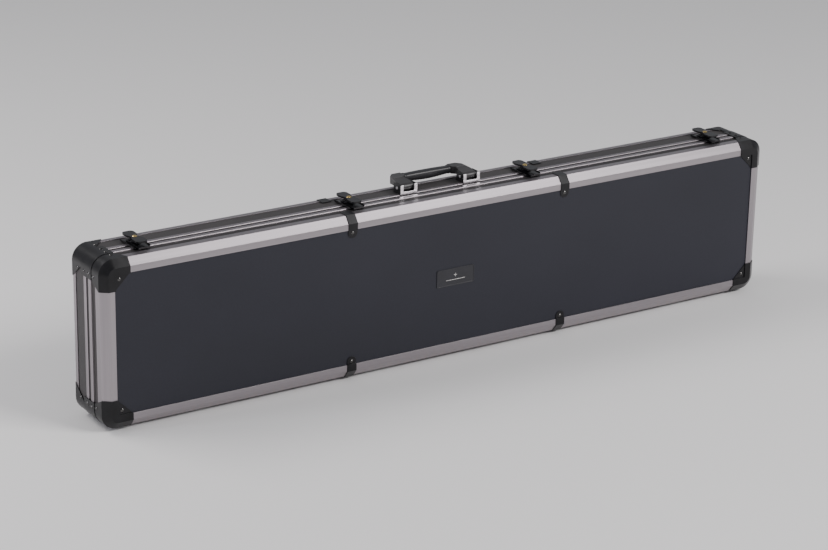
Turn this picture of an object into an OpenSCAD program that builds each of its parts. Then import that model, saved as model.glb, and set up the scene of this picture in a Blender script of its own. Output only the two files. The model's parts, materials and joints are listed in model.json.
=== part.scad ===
// Long aluminium-framed carry case for a telescope tube.
// It stands on its hinge edge: +X along the length, -Y towards the lid, +Z towards the handle.
// The origin is on the ground below the middle of the closed case.

/* [Case] */
// Outside length of the frame
case_l = 1400; // [1100:10:1700]
// Outside height of the frame, hinge edge to handle edge
case_h = 300; // [250:5:380]
// Outside depth of the closed frame
case_d = 118; // [112:1:150]
// Depth of the lid shell, front plane to parting plane
lid_d = 35.5; // [35:0.5:43]
// Radius of the corners seen from the front
corner_r = 26; // [26:0.5:32]
// Slit between the rims of the two shells
part_gap = 0.6; // [0.4:0.1:1]

/* [Frame extrusions] */
// Height of the bevel between front flange and side
bevel_h = 12.7; // [8:0.1:13]
// Depth of the same bevel
bevel_d = 10.2; // [8:0.1:13]
// Width of the flange that frames a big panel
flange_w = 11.5; // [8:0.1:12]
// Width of the lid's flat side strip behind the bevel
lid_side_w = 14.5; // [12:0.1:15]
// Width of the back shell's flat side strip behind the bevel
back_side_w = 9.3; // [8:0.1:12]
// Wall of the extrusions
rail_t = 1.8; // [1.5:0.1:2]
// Depth of the step down to the lid's rim
step_d = 1.2; // [0.8:0.1:1.4]
// Thickness of the lips inside the extrusions
lip_t = 1.5; // [1.2:0.1:2]
// Width of the rim, outer face to cavity
rim_w = 12; // [11:0.1:13]
// Depth of the channel in the lid's rim
rim_depth = 9.5; // [8:0.1:10]

/* [Closure] */
// Width of the closure extrusion on the back shell
closure_w = 31.8; // [30:0.1:34]
// Height of its two ridges above the case side
ridge_h = 0.8; // [0.4:0.1:1.2]
// Width of a ridge
ridge_w = 9.3; // [7:0.1:10]
// Parting plane to the first ridge
ridge_start = 5.1; // [4:0.1:6]
// Height of the tongue that enters the lid
tongue_l = 4; // [3:0.1:5]
// Thickness of the tongue
tongue_t = 2; // [1.5:0.1:2.2]
// Outer face to the tongue
tongue_u = 4.2; // [4:0.1:4.4]
// Width of the rubber seal behind the tongue
seal_w = 3.2; // [2.5:0.1:3.3]
// Height of the seal
seal_h = 5; // [4:0.1:6]

/* [Panels] */
// Thickness of the two big panels
panel_t = 3; // [2:0.1:3]
// Thickness of the side panels
side_t = 3.6; // [3:0.1:4]
// Depth of a side panel's face below the frame's outer face
side_recess = 0.8; // [0.4:0.1:1]
// Width of the shadow groove along a side panel
groove_w = 2; // [1:0.1:3]
// Length of the badge on the front panel
badge_l = 80; // [40:1:120]
// Height of the badge
badge_h = 33; // [20:1:60]
// Thickness of the badge
badge_t = 1.2; // [0.8:0.1:1.5]

/* [Corners and clips] */
// Thickness of the pressed-steel corners, joiners and clips
cover_t = 1.2; // [0.8:0.1:1.2]
// Reach of a corner along each edge
corner_leg = 53; // [45:1:60]
// How much shorter a corner is at its inner side edge
corner_slant = 13; // [8:1:16]
// Reach of a joiner plate along each edge
joiner_leg = 40; // [38:1:50]
// Width of a joiner across the ridges
joiner_w = 38.2; // [35:0.1:39]
// Depth of a back corner's side flap, measured from the back plane
back_flap_d = 43; // [38:0.5:43]
// Width of an edge clip
clip_w = 18.5; // [14:0.5:24]
// Place of the two clips along the top edge, left one
clip_left_x = -217; // [-400:1:-212]
// Place of the right one
clip_right_x = 235; // [212:1:400]
// Reach of a clip's side tab, measured from the big face
clip_side_reach = 29; // [26:0.5:30]
// Radius of a rivet head
rivet_r = 3.6; // [2.5:0.1:4]
// Height of a rivet head
rivet_h = 1.6; // [1:0.1:2]
// Radius of a rivet shank
rivet_shank_r = 1.6; // [1:0.1:2]
// Distance of corner rivets from the two outer edges
rivet_inset = 33; // [31:0.5:34]
// Distance of the clips' rivets from the outer edge
clip_rivet_inset = 30; // [29:0.5:34]

/* [Latches] */
// Middle of the case to the inner latches
latch_inner_x = 188; // [140:1:188]
// Middle of the case to the outer latches
latch_outer_x = 607; // [400:1:620]
// Latch spindle behind the parting plane
latch_back = 27; // [26:0.5:28]
// Width of a latch base
latch_w = 32; // [31:1:38]
// Rear end of a latch base, from the spindle
latch_rear = 23; // [22:0.5:26]
// Half length of the two-lobed wing
wing_reach = 30; // [26:1:34]
// Width of a wing lobe
wing_w = 21; // [18:1:26]
// Width of the wing's waist
waist_w = 13; // [12:0.5:15]
// Thickness of the wing plate
wing_t = 3; // [1.6:0.1:3.5]
// Radius of the cam plate
cam_r = 12; // [11:0.5:15]
// Radius of the brass spindle
spindle_r = 2.5; // [2:0.1:3]
// Throw of the cam pin: the hook travels twice this
cam_throw = 3; // [2:0.1:3]
// Width of the hook
hook_w = 20; // [16:1:22]

/* [Handle] */
// Middle of the case to the middle of a handle bracket
bracket_x = 67; // [60:1:100]
// Width of a bracket
bracket_w = 35; // [30:1:40]
// Height of a bracket above the ridges
bracket_h = 17.5; // [16:0.5:22]
// Length of a bracket
bracket_l = 27; // [24:1:32]
// Width of the bright frame round a bracket's mouth
bracket_face_w = 6; // [4:0.1:6.5]
// Radius of the handle's pivot pins
handle_pin_r = 2.5; // [2:0.1:3]
// Pivot to the axis of the grip
handle_reach = 38; // [36:1:60]
// Width of the grip, across its length
grip_w = 18; // [14:0.5:22]
// Thickness of the grip
grip_t = 16; // [12:0.5:18]
// Width of a handle arm inside its bracket
arm_w = 27; // [22:0.5:27]

/* [Hinges and feet] */
// Length of one hinge
hinge_l = 70; // [50:1:100]
// Width of a hinge leaf
hinge_leaf_w = 22; // [16:1:26]
// Radius of a hinge knuckle
knuckle_r = 3.2; // [2.8:0.1:3.2]
// Radius of a hinge pin
hinge_pin_r = 1.5; // [1:0.1:2]
// Middle of the case to the inner hinges
hinge_inner_x = 160; // [60:1:160]
// Middle of the case to the outer hinges
hinge_outer_x = 520; // [300:1:520]
// Height of the feet below the frame
foot_h = 8; // [7:0.5:15]
// Radius of a foot
foot_r = 11; // [8:0.5:12]
// Middle of the case to the feet
foot_x = 605; // [450:1:620]

/* [Foam] */
// Thickness of the foam on the back panel
foam_floor_t = 8; // [5:1:15]
// Thickness of the foam walls and dividers
foam_wall_t = 16; // [10:1:24]
// Radius of the telescope tube that the saddles hold
tube_r = 44; // [30:1:46]
// Length of a saddle along the tube
saddle_l = 60; // [30:1:100]
// Thickness of the foam in the lid
lid_foam_t = 13.5; // [8:0.5:15]

/* [Clearances] */
// Clearance between pieces that are fixed to each other
fit_gap = 0.1; // [0.05:0.01:0.2]
// Thin gap under the pressed-steel covers
cover_gap = 0.05; // [0.02:0.01:0.1]
// Radial clearance of pins in their holes
run_gap = 0.05; // [0.02:0.01:0.1]
// Clearance between pieces that move past each other
move_gap = 0.3; // [0.3:0.05:0.5]

/* [Hidden] */

$fn = 48;
eps = 0.01;
edge_gap = 0.2;
z_bottom = foot_h;
z_top = foot_h + case_h;
z_mid = foot_h + case_h / 2;
y_front = -case_d / 2;
y_back = case_d / 2;
y_part = y_front + lid_d;

metal = [0.66, 0.62, 0.61];
panel_black = [0.12, 0.12, 0.14];
side_grey = [0.22, 0.21, 0.22];
steel_black = [0.16, 0.16, 0.17];
rivet_metal = [0.75, 0.74, 0.72];
foam_grey = [0.20, 0.20, 0.22];
rubber_black = [0.08, 0.08, 0.08];

bevel_a = atan2(bevel_d, bevel_h);
flange_end = bevel_h + flange_w;
lid_side_end = bevel_d + lid_side_w;
back_side_end = bevel_d + back_side_w;
panel_back = rail_t + panel_t + fit_gap;
lip_start = bevel_h * (1 - panel_back / bevel_d) + rail_t / 2;
panel_inset = 14;
cover_out = cover_gap + cover_t;
lid_cover_end = lid_d - part_gap / 2 - edge_gap;
ridge_2_start = closure_w - ridge_w;
side_tongue_t = 1.5;
side_tongue_l = 8;
side_in = side_recess + side_t;
side_start = y_part + closure_w;
side_end = y_back - back_side_end;
joiner_start = part_gap / 2 + edge_gap;
flap_u = flange_end + cover_gap;
flap_v = rail_t - cover_gap - cover_t;

clip_places = [clip_left_x, clip_right_x];
latch_places = [-latch_outer_x, -latch_inner_x, latch_inner_x, latch_outer_x];
hinge_places = [-hinge_outer_x, -hinge_inner_x, hinge_inner_x, hinge_outer_x];
latch_y = y_part + latch_back;
latch_z = z_top + ridge_h + cover_gap;
latch_base_t = 1.2;
hook_z = latch_z + latch_base_t + move_gap;
hook_t = 2;
cam_z = hook_z + hook_t + move_gap;
cam_t = 2;
wing_z = cam_z + cam_t + 3.6;
hook_front = y_part - 7.5 - latch_y;
hook_rear = 13;
tooth_t = 2;
cam_pin_r = 2;
keeper_l = 9;

pivot_y = y_part + 32.5;
pivot_z = z_top + 11.3;
grip_y = pivot_y + handle_reach;
grip_z = z_top + 15;
grip_half = 50;
bracket_front = y_part + 20.5;
bracket_wall = 2;
bracket_floor = 1.6;
knuckle_outer_r = 7;
block_out = 10;

hinge_z = z_bottom - 2.5;
hinge_knuckles = 5;
leaf_t = 1.2;
foot_y_front = y_part + 17.5;
foot_y_rear = 24;
screw_r = 3.5;
screw_h = 2.2;
side_rivet_y = y_front + 30;
leaf_rivet_row = 0.7 * hinge_leaf_w;
leaf_rivet_x = hinge_l / 3;
foam_r = 6;
base_rivet_y = latch_rear - 6;
pin_head = 0.8;
hole_l = 20;
waist_end = 1.5;
wing_full = 12;
grip_r = 5;
shoulder_y = pivot_y + 13;
block_front = 5;
block_corner = 9;
foam_inset = 23;
wall_inset = 13;
foam_front = y_part + 5;
floor_back = y_back - rail_t - panel_t - fit_gap;
floor_front = floor_back - foam_floor_t;
wall_in = wall_inset + foam_wall_t;
tube_y = floor_front - 4 - tube_r;
bay_h = 2 * tube_r + 24;
tube_z = z_bottom + wall_in + bay_h / 2;
bar_z = z_bottom + wall_in + bay_h;
divider_places = [-300, 60, 380];
saddle_places = [-430, 0, 430];

// ---- helpers ----

function reversed(list) = [for (i = [len(list) - 1:-1:0]) list[i]];

// Outline of an edge extrusion, moved outward by t.
// u runs inward from the side face, v runs inward from the big face.
function skin_line(t, u_in, v_end) = [
    [u_in, -t],
    [bevel_h - t * tan(bevel_a / 2), -t],
    [-t, bevel_d - t * tan((90 - bevel_a) / 2)],
    [-t, v_end]];

function skin(t_in, t_out, u_in, v_end) =
    concat(skin_line(t_in, u_in, v_end), reversed(skin_line(t_out, u_in, v_end)));

// Mirror the top-left drawing to another corner of the front
module to_corner(right, bottom) {
    translate([0, 0, z_mid])
        mirror([right ? 1 : 0, 0, 0])
            mirror([0, 0, bottom ? 1 : 0])
                translate([0, 0, -z_mid])
                    children();
}

// Swap the top edge with the left edge at the top-left corner
module to_left_edge() {
    translate([-case_l / 2, 0, z_top])
        mirror([1, 0, 1])
            translate([case_l / 2, 0, -z_top])
                children();
}

// Extrude a (u, v) section along the top edge, from x1 to x2, with v starting at y0
module along_top(x1, x2, y0) {
    translate([x1, y0, z_top])
        rotate([0, 90, 0])
            linear_extrude(x2 - x1)
                children();
}

// Extrude a (u, v) section up the left edge
module along_left(y0) {
    translate([-case_l / 2, y0, z_bottom + corner_r])
        linear_extrude(case_h - 2 * corner_r)
            children();
}

// Turn a (u, v) section round the top-left corner
module round_corner(y0) {
    translate([corner_r - case_l / 2, y0, z_top - corner_r])
        rotate([-90, 0, 0])
            rotate([0, 0, 180])
                rotate_extrude(angle = 90)
                    translate([corner_r, 0])
                        mirror([1, 0])
                            children();
}

// Flat rectangle with round corners, standing in the X-Z plane, from y to y + t
module upright_plate(l, h, r, y, t) {
    translate([0, y + t, z_mid])
        rotate([90, 0, 0])
            linear_extrude(t)
                round_rect(l, h, r);
}

module round_rect(l, h, r) {
    square([l - 2 * r, h], center = true);
    square([l, h - 2 * r], center = true);
    for (x = [-1, 1])
        for (z = [-1, 1])
            translate([x * (l / 2 - r), z * (h / 2 - r)])
                circle(r);
}

// Dome-headed rivet on the plane z = 0, its shank below
module rivet(shank) {
    rotate_extrude()
        intersection() {
            square([rivet_r, rivet_h]);
            translate([0, rivet_h - dome_r()])
                circle(dome_r());
        }
    translate([0, 0, -shank])
        cylinder(h = shank + eps, r = rivet_shank_r);
}

function dome_r() = (rivet_r * rivet_r + rivet_h * rivet_h) / (2 * rivet_h);

module rivet_hole() {
    translate([0, 0, -hole_l / 2])
        cylinder(h = hole_l, r = rivet_shank_r + run_gap);
}

// ---- frame sections ----

module edge_section(side_end_v) {
    polygon(skin(-rail_t, 0, flange_end, side_end_v));
    translate([lip_start, panel_back])
        square([flange_end - 2 - lip_start, lip_t]);
}

module lid_section() {
    edge_section(lid_side_end);
    translate([step_d, lid_side_end - rail_t])
        square([rail_t, lid_d - part_gap / 2 - lid_side_end + rail_t]);
    translate([step_d, lid_d - rim_depth])
        square([rim_w - step_d, lip_t]);
    translate([rim_w - lip_t, lid_d - rim_depth])
        square([lip_t, rim_depth - part_gap / 2 - move_gap]);
}

module back_section() {
    edge_section(back_side_end);
    translate([rail_t - eps, back_side_end - side_tongue_l])
        square([side_in + fit_gap + lip_t - rail_t, lip_t]);
    translate([side_in + fit_gap, back_side_end - side_tongue_l])
        square([lip_t, side_tongue_l]);
}

// u as above, v measured from the parting plane into the back shell
module closure_section() {
    translate([1, part_gap / 2])
        square([rail_t, closure_w - part_gap / 2]);
    translate([1, part_gap / 2])
        square([rim_w - 1, rail_t]);
    translate([tongue_u, -tongue_l])
        square([tongue_t, tongue_l + rail_t]);
    for (v = [ridge_start, ridge_2_start])
        translate([-ridge_h, v])
            ridge_section();
    translate([1, ridge_2_start - 2])
        square([side_in + fit_gap + lip_t - 1, lip_t]);
    translate([side_in + fit_gap, ridge_2_start - 2])
        square([lip_t, side_tongue_l + 2]);
}

module ridge_section() {
    r = 1.2;
    translate([r, 0])
        square([1 + ridge_h + eps - r, ridge_w]);
    translate([0, r])
        square([r + eps, ridge_w - 2 * r]);
    for (v = [r, ridge_w - r])
        translate([r, v])
            circle(r);
}

// ---- lid ----

module lid_panel() {
    color(panel_black)
        difference() {
            upright_plate(case_l - 2 * panel_inset, case_h - 2 * panel_inset, corner_r - panel_inset,
                y_front + rail_t, panel_t);
            face_rivets_at(y_front)
                rivet_hole();
        }
}

module lid_rail_top() {
    color(metal)
        along_top(corner_r - case_l / 2, case_l / 2 - corner_r, y_front)
            lid_section();
}

module lid_rail_bottom() {
    color(metal)
        to_corner(false, true)
            along_top(corner_r - case_l / 2, case_l / 2 - corner_r, y_front)
                lid_section();
}

module lid_rail_left() {
    color(metal)
        along_left(y_front)
            lid_section();
}

module lid_rail_right() {
    color(metal)
        to_corner(true, false)
            along_left(y_front)
                lid_section();
}

// Section of a corner cover: skin over the extrusion and a wall down to the big panel
module cover_section(v_end) {
    polygon(skin(cover_gap, cover_out, flap_u + cover_t, v_end));
    translate([flap_u, -cover_out])
        square([cover_t, rail_t + cover_t]);
}

// One leg of a corner cover, along the top edge.
// v_end and cut_s are where the slanted end starts: depth from the big face, and how much it loses.
module cover_leg(v_end, cut_s) {
    s1 = corner_leg - case_l / 2;
    difference() {
        along_top(corner_r - case_l / 2, s1, y_front)
            cover_section(v_end);
        translate([0, 0, z_top - 1])
            linear_extrude(4)
                polygon([[s1 + 1, y_front + bevel_d], [s1, y_front + bevel_d], [s1 - cut_s, y_front + v_end],
                    [s1 - cut_s, y_front + v_end + 1], [s1 + 1, y_front + v_end + 1]]);
        translate([rivet_inset - case_l / 2, side_rivet_y, z_top])
            rivet_hole();
    }
}

// Pressed-steel corner at the top left, drawn for the front; v_end is the depth of its side flap
module corner_cover(v_end, cut_s) {
    round_corner(y_front)
        cover_section(v_end);
    cover_leg(v_end, cut_s);
    to_left_edge()
        cover_leg(v_end, cut_s);
    difference() {
        translate([-case_l / 2, y_front + flap_v + cover_t, z_top])
            rotate([90, 0, 0])
                linear_extrude(cover_t)
                    polygon([[flap_u, -flap_u], [corner_leg, -flap_u], [flap_u, -corner_leg]]);
        face_rivet_corner()
            rivet_hole();
    }
}

module face_rivet_corner() {
    translate([rivet_inset - case_l / 2, y_front + flap_v, z_top - rivet_inset])
        rotate([90, 0, 0])
            children();
}

module lid_corner_top_left() {
    color(steel_black)
        corner_cover(lid_cover_end, corner_slant);
}

module lid_corner_top_right() {
    color(steel_black)
        to_corner(true, false)
            corner_cover(lid_cover_end, corner_slant);
}

module lid_corner_bottom_left() {
    color(steel_black)
        to_corner(false, true)
            corner_cover(lid_cover_end, corner_slant);
}

module lid_corner_bottom_right() {
    color(steel_black)
        to_corner(true, true)
            corner_cover(lid_cover_end, corner_slant);
}

// Edge clip over the top edge at place x: skin, wall and a round tab on the big panel
module edge_clip(x) {
    difference() {
        union() {
            along_top(x - clip_w / 2, x + clip_w / 2, y_front)
                union() {
                    cover_section(clip_side_reach);
                    translate([flap_u, flap_v])
                        square([clip_rivet_inset - flap_u, cover_t]);
                }
            translate([x, y_front + flap_v + cover_t, z_top - clip_rivet_inset])
                rotate([90, 0, 0])
                    linear_extrude(cover_t)
                        clip_tab();
        }
        clip_rivet_face(x)
            rivet_hole();
    }
}

// Round end of a clip's tab, cut off where the flange begins
module clip_tab() {
    intersection() {
        circle(clip_w / 2);
        translate([-clip_w, -clip_w])
            square([2 * clip_w, clip_w + clip_rivet_inset - flap_u]);
    }
}

module clip_rivet_face(x) {
    translate([x, y_front + flap_v, z_top - clip_rivet_inset])
        rotate([90, 0, 0])
            children();
}

module lid_clips() {
    color(steel_black)
        for (bottom = [false, true])
            to_corner(false, bottom)
                for (x = clip_places)
                    edge_clip(x);
}

// Every rivet on one big face: four corners and four clips
module face_rivets_at(y) {
    translate([0, y - y_front, 0]) {
        for (right = [false, true])
            for (bottom = [false, true])
                to_corner(right, bottom)
                    face_rivet_corner()
                        children();
        for (bottom = [false, true])
            to_corner(false, bottom)
                for (x = clip_places)
                    clip_rivet_face(x)
                        children();
    }
}

// Rivets of the corners' side flaps, two flaps at each corner
module side_rivets() {
    for (right = [false, true])
        for (bottom = [false, true])
            to_corner(right, bottom) {
                translate([rivet_inset - case_l / 2, side_rivet_y, z_top + cover_out])
                    children();
                to_left_edge()
                    translate([rivet_inset - case_l / 2, side_rivet_y, z_top + cover_out])
                        children();
            }
}

module lid_rivets() {
    color(rivet_metal) {
        face_rivets_at(y_front)
            rivet(cover_t + cover_gap + panel_t);
        side_rivets()
            rivet(cover_out);
        for (x = hinge_places)
            for (side = [-1, 1])
                translate([x + side * leaf_rivet_x, y_part - leaf_rivet_row, lid_leaf_z()])
                    mirror([0, 0, 1])
                        rivet(leaf_t);
    }
}

module badge_plate() {
    rim = 1.6;
    color(steel_black)
        difference() {
            upright_plate(badge_l, badge_h, 3, y_front + rail_t - badge_t, badge_t);
            upright_plate(badge_l - 2 * rim, badge_h - 2 * rim, 2, y_front + rail_t - 2 * badge_t,
                1.5 * badge_t);
        }
}

module lid_foam() {
    color(foam_grey)
        upright_plate(case_l - 2 * foam_inset, case_h - 2 * foam_inset, foam_r,
            y_front + rail_t + panel_t + fit_gap, lid_foam_t);
}

module rim_seal() {
    outer = rim_w - lip_t - fit_gap - seal_w;
    inner = outer + seal_w;
    color(rubber_black)
        difference() {
            upright_plate(case_l - 2 * outer, case_h - 2 * outer, corner_r - outer,
                y_part - part_gap / 2 - move_gap - seal_h, seal_h);
            upright_plate(case_l - 2 * inner, case_h - 2 * inner, corner_r - inner,
                y_part - part_gap / 2 - move_gap - seal_h - 1, seal_h + 2);
        }
}

// Keeper plates welded on the lid's rim, each with an upstanding lip behind the hook's tooth
module latch_keepers() {
    z = z_top - step_d + cover_gap;
    color(steel_black)
        for (x = latch_places) {
            translate([x - hook_w / 2, y_part - 1 - keeper_l, z])
                cube([hook_w, keeper_l, latch_base_t]);
            translate([x - hook_w / 2 + 2, latch_y + hook_front + tooth_t + move_gap, z])
                cube([hook_w - 4, 2, keeper_lip_z() - z]);
        }
}

function keeper_lip_z() = hook_z - 2 * move_gap - 0.8;

// ---- hinges ----

function lid_leaf_z() = z_bottom - cover_gap - leaf_t;
function base_leaf_z() = z_bottom - ridge_h - cover_gap - leaf_t;

// Knuckles numbered from first in steps of two, with their share of the leaf
module hinge_leaf(first, toward, leaf_z) {
    pitch = hinge_l / hinge_knuckles;
    difference() {
        union() {
            translate([-hinge_l / 2, toward > 0 ? y_part + knuckle_r + move_gap : y_part - hinge_leaf_w,
                leaf_z])
                cube([hinge_l, hinge_leaf_w - knuckle_r - move_gap, leaf_t]);
            for (i = [first:2:hinge_knuckles - 1]) {
                translate([i * pitch - hinge_l / 2 + move_gap / 2, y_part, hinge_z])
                    rotate([0, 90, 0])
                        cylinder(h = pitch - move_gap, r = knuckle_r);
                translate([i * pitch - hinge_l / 2 + move_gap / 2,
                    toward > 0 ? y_part : y_part - knuckle_r - 1, leaf_z])
                    cube([pitch - move_gap, knuckle_r + 1, leaf_t]);
            }
        }
        translate([-hinge_l / 2 - 1, y_part, hinge_z])
            rotate([0, 90, 0])
                cylinder(h = hinge_l + 2, r = hinge_pin_r + run_gap);
        for (side = [-1, 1])
            translate([side * leaf_rivet_x, y_part + toward * leaf_rivet_row, leaf_z])
                rivet_hole();
    }
}

module lid_hinge_leaves() {
    color(rivet_metal)
        for (x = hinge_places)
            translate([x, 0, 0])
                hinge_leaf(1, -1, lid_leaf_z());
}

module base_hinge_leaves() {
    color(rivet_metal)
        for (x = hinge_places)
            translate([x, 0, 0])
                hinge_leaf(0, 1, base_leaf_z());
}

module hinge_pins() {
    color(metal)
        for (x = hinge_places)
            translate([x - hinge_l / 2, y_part, hinge_z])
                rotate([0, 90, 0])
                    cylinder(h = hinge_l, r = hinge_pin_r);
}

// ---- back shell ----

module back_panel() {
    color(panel_black)
        mirror([0, 1, 0])
            difference() {
                upright_plate(case_l - 2 * panel_inset, case_h - 2 * panel_inset, corner_r - panel_inset,
                    y_front + rail_t, panel_t);
                face_rivets_at(y_front)
                    rivet_hole();
            }
}

module back_rail_top() {
    color(metal)
        mirror([0, 1, 0])
            along_top(corner_r - case_l / 2, case_l / 2 - corner_r, y_front)
                back_section();
}

module back_rail_bottom() {
    color(metal)
        mirror([0, 1, 0])
            to_corner(false, true)
                along_top(corner_r - case_l / 2, case_l / 2 - corner_r, y_front)
                    back_section();
}

module back_rail_left() {
    color(metal)
        mirror([0, 1, 0])
            along_left(y_front)
                back_section();
}

module back_rail_right() {
    color(metal)
        mirror([0, 1, 0])
            to_corner(true, false)
                along_left(y_front)
                    back_section();
}

// Side panel: its face stands between two grooves, and thin tongues run under both extrusions
module side_section() {
    w = side_end - side_start;
    translate([side_recess, groove_w])
        square([side_t, w - 2 * groove_w]);
    translate([side_in - side_tongue_t, fit_gap - side_tongue_l + 2])
        square([side_tongue_t, w + 2 * side_tongue_l - 2 * fit_gap - 4]);
}

module side_panel_top() {
    color(side_grey)
        along_top(corner_r - case_l / 2, case_l / 2 - corner_r, side_start)
            side_section();
}

module side_panel_bottom() {
    color(side_grey)
        to_corner(false, true)
            along_top(corner_r - case_l / 2, case_l / 2 - corner_r, side_start)
                side_section();
}

module side_panel_left() {
    color(side_grey)
        along_left(side_start)
            side_section();
}

module side_panel_right() {
    color(side_grey)
        to_corner(true, false)
            along_left(side_start)
                side_section();
}

module closure_rail_top() {
    color(metal)
        along_top(corner_r - case_l / 2, case_l / 2 - corner_r, y_part)
            closure_section();
}

module closure_rail_bottom() {
    color(metal)
        to_corner(false, true)
            along_top(corner_r - case_l / 2, case_l / 2 - corner_r, y_part)
                closure_section();
}

module closure_rail_left() {
    color(metal)
        along_left(y_part)
            closure_section();
}

module closure_rail_right() {
    color(metal)
        to_corner(true, false)
            along_left(y_part)
                closure_section();
}

module back_corner(right, bottom) {
    color(steel_black)
        mirror([0, 1, 0])
            to_corner(right, bottom)
                corner_cover(back_flap_d, 2 * corner_slant);
}

module back_corner_top_left() {
    back_corner(false, false);
}

module back_corner_top_right() {
    back_corner(true, false);
}

module back_corner_bottom_left() {
    back_corner(false, true);
}

module back_corner_bottom_right() {
    back_corner(true, true);
}

// Plates over the ridges at each corner of the back shell
module joiner_section() {
    translate([-ridge_h - cover_out, joiner_start])
        square([cover_t, joiner_w]);
}

module joiner_rivet(v) {
    translate([rivet_inset - 2 - case_l / 2, y_part + v, z_top + ridge_h + cover_out])
        children();
}

module joiner_leg_top() {
    difference() {
        along_top(corner_r - case_l / 2, joiner_leg - case_l / 2, y_part)
            joiner_section();
        for (v = [ridge_start, ridge_2_start])
            joiner_rivet(v + ridge_w / 2)
                rivet_hole();
    }
}

module corner_joiners() {
    color(steel_black)
        for (right = [false, true])
            for (bottom = [false, true])
                to_corner(right, bottom) {
                    round_corner(y_part)
                        joiner_section();
                    joiner_leg_top();
                    to_left_edge()
                        joiner_leg_top();
                }
}

module back_clips() {
    color(steel_black)
        mirror([0, 1, 0])
            for (bottom = [false, true])
                to_corner(false, bottom)
                    for (x = clip_places)
                        edge_clip(x);
}

module back_rivets() {
    color(rivet_metal) {
        mirror([0, 1, 0]) {
            face_rivets_at(y_front)
                rivet(cover_t + cover_gap + panel_t);
            side_rivets()
                rivet(cover_out);
        }
        for (right = [false, true])
            for (bottom = [false, true])
                to_corner(right, bottom)
                    for (v = [ridge_start, ridge_2_start]) {
                        joiner_rivet(v + ridge_w / 2)
                            rivet(cover_out);
                        to_left_edge()
                            joiner_rivet(v + ridge_w / 2)
                                rivet(cover_out);
                    }
        for (x = hinge_places)
            for (side = [-1, 1])
                translate([x + side * leaf_rivet_x, y_part + leaf_rivet_row, base_leaf_z()])
                    mirror([0, 0, 1])
                        rivet(leaf_t);
        for (x = latch_places)
            translate([x, latch_y + base_rivet_y, latch_z + latch_base_t])
                rivet(latch_base_t);
    }
}

// ---- foam ----

module foam_floor() {
    color(foam_grey)
        upright_plate(case_l - 2 * foam_inset, case_h - 2 * foam_inset, foam_r, floor_front, foam_floor_t);
}

// Walls round the cavity, the bar over the tube bay and the dividers of the accessory bays
module foam_walls() {
    depth = floor_front - foam_front - fit_gap;
    inner_l = case_l - 2 * wall_in;
    color(foam_grey)
        translate([0, foam_front, 0]) {
            for (z = [z_bottom + wall_inset, z_top - wall_in])
                translate([wall_inset - case_l / 2, 0, z])
                    cube([case_l - 2 * wall_inset, depth, foam_wall_t]);
            for (x = [wall_inset - case_l / 2, case_l / 2 - wall_in])
                translate([x, 0, z_bottom + wall_in + fit_gap])
                    cube([foam_wall_t, depth, case_h - 2 * wall_in - 2 * fit_gap]);
            translate([-inner_l / 2 + fit_gap, 0, bar_z])
                cube([inner_l - 2 * fit_gap, depth, foam_wall_t]);
            for (x = divider_places)
                translate([x, 0, bar_z + foam_wall_t + fit_gap])
                    cube([foam_wall_t, depth, z_top - wall_in - bar_z - foam_wall_t - 2 * fit_gap]);
        }
}

module tube_saddles() {
    color(foam_grey)
        for (x = saddle_places)
            difference() {
                translate([x - saddle_l / 2, tube_y, z_bottom + wall_in + fit_gap])
                    cube([saddle_l, floor_front - tube_y - fit_gap, bay_h - 2 * fit_gap]);
                translate([x - saddle_l / 2 - 1, tube_y, tube_z])
                    rotate([0, 90, 0])
                        cylinder(h = saddle_l + 2, r = tube_r, $fn = 96);
            }
}

// ---- feet ----

module at_feet() {
    for (x = [-foot_x, foot_x]) {
        translate([x, foot_y_front, 0])
            children(0);
        translate([x, foot_y_rear, 0])
            children(1);
    }
}

module foot(h) {
    difference() {
        rotate_extrude()
            polygon([[0, 0], [foot_r - 2, 0], [foot_r, 2], [foot_r, h], [0, h]]);
        translate([0, 0, -eps])
            cylinder(h = screw_h + 1 + eps, r = screw_r + 2 * run_gap);
        translate([0, 0, 1])
            cylinder(h = h, r = rivet_shank_r + run_gap);
    }
}

module foot_screw(h) {
    translate([0, 0, 1])
        difference() {
            cylinder(h = screw_h - fit_gap, r = screw_r);
            translate([-screw_r, -0.5, -eps])
                cube([2 * screw_r, 1, 0.8]);
        }
    translate([0, 0, screw_h])
        cylinder(h = h - screw_h, r = rivet_shank_r);
}

module feet() {
    color(rubber_black)
        at_feet() {
            foot(z_bottom - ridge_h);
            foot(z_bottom + side_recess);
        }
}

module foot_screws() {
    color(rivet_metal)
        at_feet() {
            foot_screw(z_bottom - ridge_h);
            foot_screw(z_bottom + side_recess);
        }
}

// ---- handle ----

// U-shaped bracket, open at the top, with a wide bright frame round its mouth
module handle_bracket(x) {
    z = z_top + ridge_h + cover_gap;
    color("silver")
        translate([x, 0, 0])
            difference() {
                union() {
                    translate([-bracket_w / 2, bracket_front, z])
                        cube([bracket_w, bracket_l, bracket_floor]);
                    for (side = [0, 1])
                        mirror([side, 0, 0])
                            translate([bracket_w / 2 - bracket_wall, bracket_front, z])
                                cube([bracket_wall, bracket_l - 3, bracket_h]);
                    difference() {
                        translate([-bracket_w / 2, bracket_front, z])
                            cube([bracket_w, bracket_wall, bracket_h]);
                        translate([bracket_face_w - bracket_w / 2, bracket_front - 1, z + bracket_face_w - 1])
                            cube([bracket_w - 2 * bracket_face_w, bracket_wall + 2, bracket_h]);
                    }
                }
                translate([-bracket_w, pivot_y, pivot_z])
                    rotate([0, 90, 0])
                        cylinder(h = 2 * bracket_w, r = handle_pin_r + run_gap);
            }
}

module handle_bracket_left() {
    handle_bracket(-bracket_x);
}

module handle_bracket_right() {
    handle_bracket(bracket_x);
}

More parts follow.
